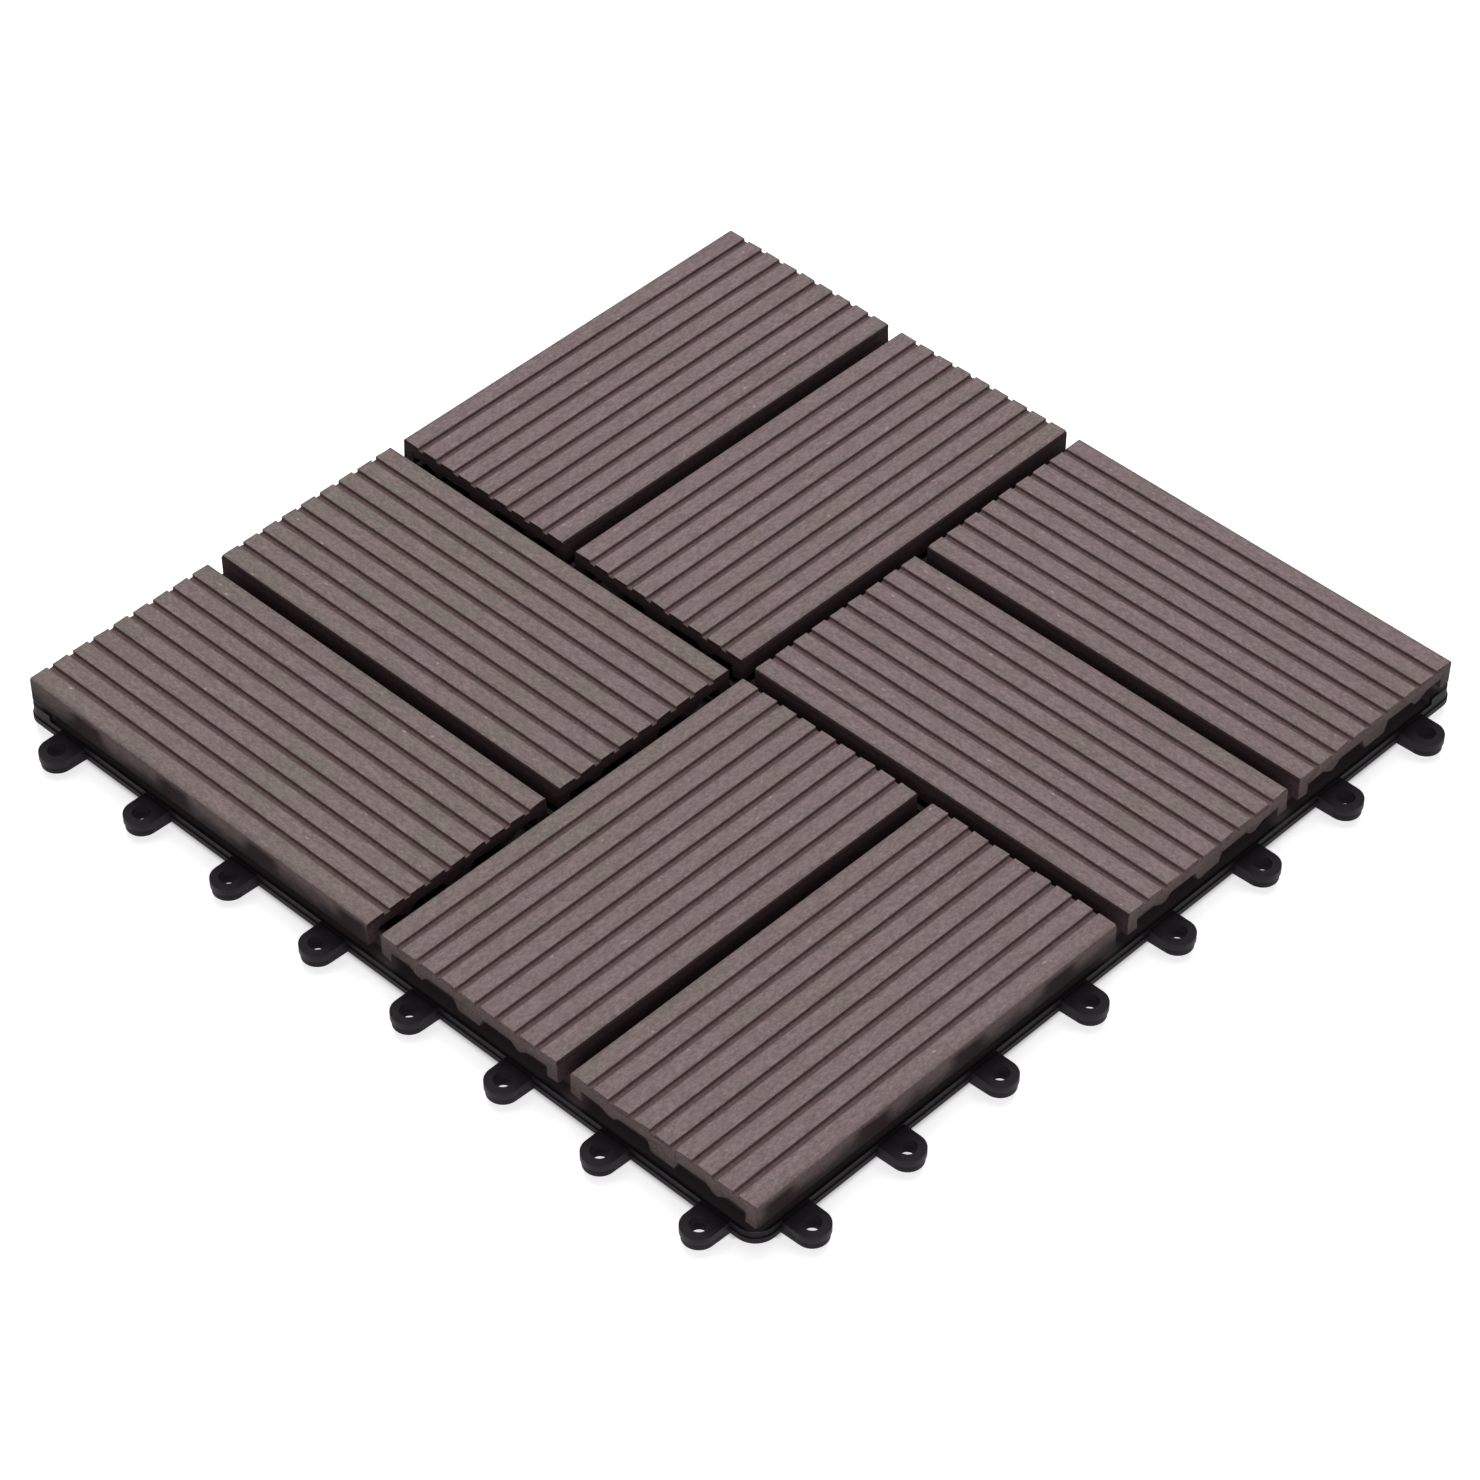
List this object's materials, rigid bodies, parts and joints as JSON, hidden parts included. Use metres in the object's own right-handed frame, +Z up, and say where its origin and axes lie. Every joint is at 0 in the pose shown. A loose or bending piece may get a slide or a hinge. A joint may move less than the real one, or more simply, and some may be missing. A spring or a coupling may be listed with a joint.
{
  "type": "interlocking deck tile",
  "caption": "Square interlocking deck tile: grooved composite boards in a basket weave, fixed on a moulded grid base with loops on two sides and pegs on the other two.",
  "frame": {"origin": "on the ground under the middle of the 300 mm module, at the bottom of the central foot", "axes": "+Z up; the loops point to -Y and +X, the pegs are on the -X and +Y sides"},
  "size_m": [0.3103, 0.3103, 0.022],
  "materials": {
    "base": "black polypropylene, lightly grained",
    "board": "grey-brown wood-plastic composite, brushed along its length"
  },
  "bodies": {
    "root": {"base_grid": "base", "board_front_right_1": "board", "board_front_right_2": "board", "board_front_left_1": "board", "board_front_left_2": "board", "board_back_right_1": "board", "board_back_right_2": "board", "board_back_left_1": "board", "board_back_left_2": "board"}
  },
  "joints": []
}
